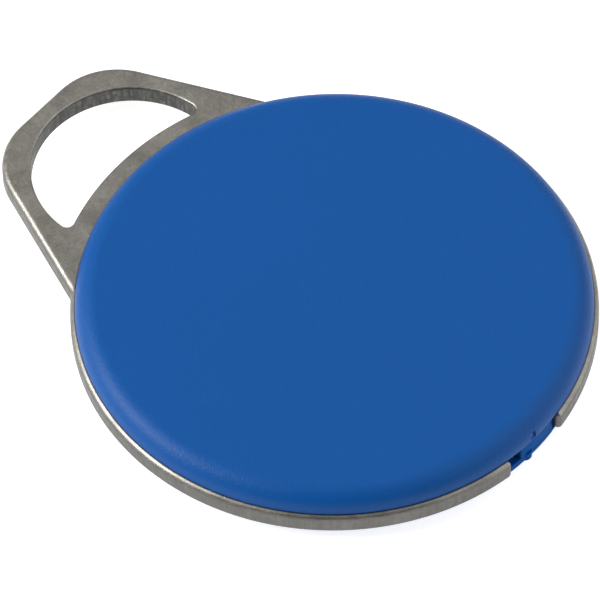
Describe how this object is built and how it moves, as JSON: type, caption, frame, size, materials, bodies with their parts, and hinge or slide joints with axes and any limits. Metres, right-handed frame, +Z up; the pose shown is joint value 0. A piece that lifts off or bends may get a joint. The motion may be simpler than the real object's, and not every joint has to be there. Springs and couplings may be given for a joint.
{
  "type": "contactless fare token",
  "caption": "Round contactless fare token: plastic covers clamp a radio inlay inside an open steel ring with an eyelet for a key ring",
  "frame": {"origin": "centre of the flat underside of the base cover, on the axis of the round body", "axes": "+Z up out of the top cover, +Y from the centre toward the eyelet, -Y toward the gap of the ring, +X to the right"},
  "size_m": [0.035, 0.0432, 0.0041],
  "materials": {
    "steel": "tumbled satin, fine scratches",
    "blue_plastic": "fine matt moulded grain",
    "adhesive": "double-sided tape",
    "clear_foil": "clear polyester foil",
    "white_plastic": "white card plastic",
    "foam": "closed-cell foam",
    "copper": "enamelled copper wire",
    "gold_plate": "gold-plated copper strip",
    "silver_glue": "silver-filled epoxy",
    "silicon": "polished silicon",
    "black_resin": "moulding resin",
    "solder": "tin solder"
  },
  "bodies": {
    "root": {"ring_frame": "steel", "top_cover": "blue_plastic", "base_cover": "blue_plastic", "adhesive_disc": "adhesive", "inlay_lower_foil": "clear_foil", "inlay_core": "white_plastic", "inlay_upper_foil": "clear_foil", "foam_pad": "foam", "antenna_coil": "copper", "chip_lead_left": "gold_plate", "chip_lead_right": "gold_plate", "chip_die_bond": "silver_glue", "chip_die": "silicon", "chip_mould": "black_resin", "bond_wire_left": "gold_plate", "bond_wire_right": "gold_plate", "solder_bead_left": "solder", "solder_bead_right": "solder"}
  },
  "joints": []
}
